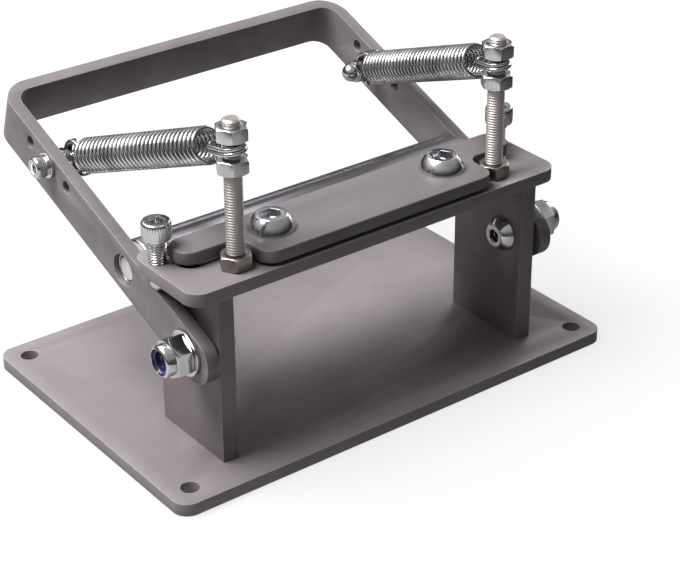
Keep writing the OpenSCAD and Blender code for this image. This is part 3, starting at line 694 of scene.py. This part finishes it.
def spring_path(stud, anchor, hand):
    """The centre line of the wire of a spring on the right, from the loop on the arm's screw to
    the loop on the stud. hand is 1 or -1, the way that it winds."""
    x, z = Vector((1, 0, 0)), Vector((0, 0, 1))
    reach = stud + z * SPRING_LIFT - anchor
    axis = reach.normalized()
    start = anchor + axis * SPRING_TAIL
    length = reach.length - SPRING_TAIL - SPRING_NOSE
    steps = math.floor(length / SPRING_PITCH) * COIL_STEPS + (COIL_STEPS // 2 if hand > 0 else 0)
    radius = (SPRING_DIAMETER - WIRE) / 2
    arm_out = across(axis, x).normalized()
    arm_side = x.cross(arm_out)
    level = across(-axis, z).normalized()
    stud_out = level * math.cos(STUD_LOOP_TILT) - z * math.sin(STUD_LOOP_TILT)
    stud_side = z.cross(level)
    body_side = across(arm_side, axis).normalized()
    body_up = axis.cross(body_side)
    body = []
    for i in range(steps + 1):
        a = math.pi + 2 * math.pi * i / COIL_STEPS
        body.append(start + axis * length * i / steps
                    + body_side * hand * radius * math.cos(a) + body_up * radius * math.sin(a))
    arm_loop = loop_points(
        anchor + arm_out * (radius - ANCHOR_RADIUS - WIRE / 2 - LOOP_GAP),
        arm_out, arm_side * hand, x * WIRE * LOOP_PITCH,
        radius, 0, -90 - 360 * LOOP_TURNS,
    )
    stud_loop = loop_points(
        stud,
        stud_out, stud_side * hand, stud_out.cross(stud_side) * WIRE * LOOP_PITCH,
        STUD_RADIUS + WIRE / 2 + LOOP_GAP, STUD_LOOP_STRETCH, STUD_LOOP_FIRST,
    )
    bends = bend_between(arm_loop, body), bend_between(body, stud_loop)
    return arm_loop + bends[0] + body + bends[1] + stud_loop


def wire_rings(path):
    """Round sections along a path, carried along it without twist."""
    last = len(path) - 1
    along = [(path[min(i + 1, last)] - path[max(i - 1, 0)]).normalized() for i in range(last + 1)]
    side = along[0].cross(Vector((1, 2, 3))).normalized()
    rings = []
    for i in range(last + 1):
        side = across(side, along[i]).normalized()
        other = along[i].cross(side)
        rings.append([
            path[i] + WIRE / 2 * (side * math.cos(a) + other * math.sin(a))
            for a in (2 * math.pi * k / WIRE_SIDES for k in range(WIRE_SIDES))
        ])
    return rings


def spring_ends(side, sign):
    """Where the two loops sit, each in the middle between its pair of nuts."""
    stud = Vector((
        mid(side + "_stud", X),
        mid(side + "_stud", Y),
        (high(side + "_spring_lower_nut", Z) + low(side + "_spring_upper_nut", Z)) / 2,
    ))
    outward, inward = (high, low) if sign > 0 else (low, high)
    anchor = Vector((
        (outward(side + "_anchor_nut", X) + inward(side + "_anchor_jam_nut", X)) / 2,
        mid(side + "_anchor_screw", Y),
        mid(side + "_anchor_screw", Z),
    ))
    return stud, anchor


def make_spring(side, sign):
    """A spring, worked out for the right and mirrored for the left, between frame and handle."""
    stud, anchor = spring_ends(side, sign)
    mirror = Vector((sign, 1, 1))
    path = [mirror * point for point in spring_path(mirror * stud, mirror * anchor, sign)]
    mesh = mesh_of_rings(side + "_spring", wire_rings(path), sharp=60)
    piece = place_piece(
        side + "_spring_finished", mesh, SPRING, None, [side + "_spring"],
    )
    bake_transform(piece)


for side, sign in SIDES.items():
    make_spring(side, sign)

# ---------------------------------------------------------------- floor and light

FLOOR_SIZE, FLOOR_DROP = 12, 0.0002


def rays_in(tree):
    """Masks of the rays that come straight from the camera, and of those that metal throws."""
    path = add(tree, "ShaderNodeLightPath")
    camera, through = path.outputs["Is Camera Ray"], path.outputs["Is Transmission Ray"]
    return math_of(tree, "MAXIMUM", camera, through), path.outputs["Is Glossy Ray"]


def make_floor():
    """A plain pale floor. To the camera it is white, glowing less near the machine, where the lamps
    add the rest and its shadow shows. Metal sees it bright only nearby and to the left."""
    bpy.ops.mesh.primitive_plane_add(size=FLOOR_SIZE, location=(0, 0, -FLOOR_DROP))
    floor = bpy.context.object
    floor.name = "floor"
    material = bpy.data.materials.new("pale_floor")
    material.use_nodes = True
    tree = material.node_tree
    tree.nodes.clear()
    by_camera, by_metal = rays_in(tree)
    place = object_place(tree)
    sideways = add(tree, "ShaderNodeSeparateXYZ", {0: place}).outputs[X]
    distance = add(tree, "ShaderNodeVectorMath", {0: place}, operation="LENGTH").outputs["Value"]
    whiteness = spread(tree, distance, 0.16, 0.55, 0.77, 1.0)
    lit_side = spread(tree, sideways, -0.2, 0.26, 0.95, 0.08)
    nearby = spread(tree, distance, 0.42, 0.85, 1.0, 0.1)
    mirrored = product(tree, product(tree, lit_side, nearby), by_metal)
    glow = add(tree, "ShaderNodeEmission", {
        "Color": (1, 1, 1, 1),
        "Strength": total(tree, product(tree, by_camera, whiteness), mirrored),
    })
    shade = spread(tree, by_metal, 0, 1, 0.15, 0.05)
    diffuse = add(tree, "ShaderNodeBsdfDiffuse", {"Color": shade})
    both = add(tree, "ShaderNodeAddShader", {0: diffuse.outputs[0], 1: glow.outputs[0]})
    add(tree, "ShaderNodeOutputMaterial", {"Surface": both.outputs[0]})
    floor.data.materials.append(material)


def make_world():
    """A soft room, white to the camera and dim as plain light. Metal sees it pale above, behind and
    to the left, and dark at eye level."""
    world = bpy.data.worlds.new("studio")
    bpy.context.scene.world = world
    world.use_nodes = True
    tree = world.node_tree
    tree.nodes.clear()
    by_camera, by_metal = rays_in(tree)
    direction = add(tree, "ShaderNodeTexCoord").outputs["Generated"]
    axis = add(tree, "ShaderNodeSeparateXYZ", {0: direction})
    overhead = spread(tree, axis.outputs[Z], 0.15, 0.55, 0.12, 1.0)
    behind = spread(tree, axis.outputs[Y], -0.7, 0.6, 0.52, 1.0)
    lit_side = spread(tree, axis.outputs[X], -0.7, 0.7, 1.0, 0.6)
    mirrored = product(tree, product(tree, overhead, behind), lit_side)
    mirrored = product(tree, mirrored, by_metal)
    room = spread(tree, axis.outputs[Z], -0.1, 1.0, 0.02, 0.12)
    strength = math_of(tree, "MAXIMUM", math_of(tree, "MAXIMUM", room, mirrored), by_camera)
    light = add(tree, "ShaderNodeBackground", {"Color": (1, 1, 1, 1), "Strength": strength})
    add(tree, "ShaderNodeOutputWorld", {"Surface": light.outputs[0]})


def softbox(name, place, aim, size, watts):
    """A square lamp of that size, pointing from place to aim."""
    data = bpy.data.lights.new(name, "AREA")
    data.shape, data.size, data.size_y, data.energy = "RECTANGLE", size, size, watts
    lamp = bpy.data.objects.new(name, data)
    bpy.context.scene.collection.objects.link(lamp)
    lamp.location = place
    lamp.rotation_euler = (Vector(aim) - Vector(place)).to_track_quat("-Z", "Y").to_euler()


make_floor()
make_world()
softbox("key_softbox", (-0.68, 0.34, 1.48), aim=(0, 0, 0.05), size=0.9, watts=46)
softbox("back_softbox", (-0.1, 1.2, 1.4), aim=(-0.05, 0, 0), size=1.0, watts=5)
softbox("right_softbox", (1.45, 0.6, 0.5), aim=(0, 0, 0.06), size=0.9, watts=7)

bpy.context.scene.view_settings.view_transform = "Standard"
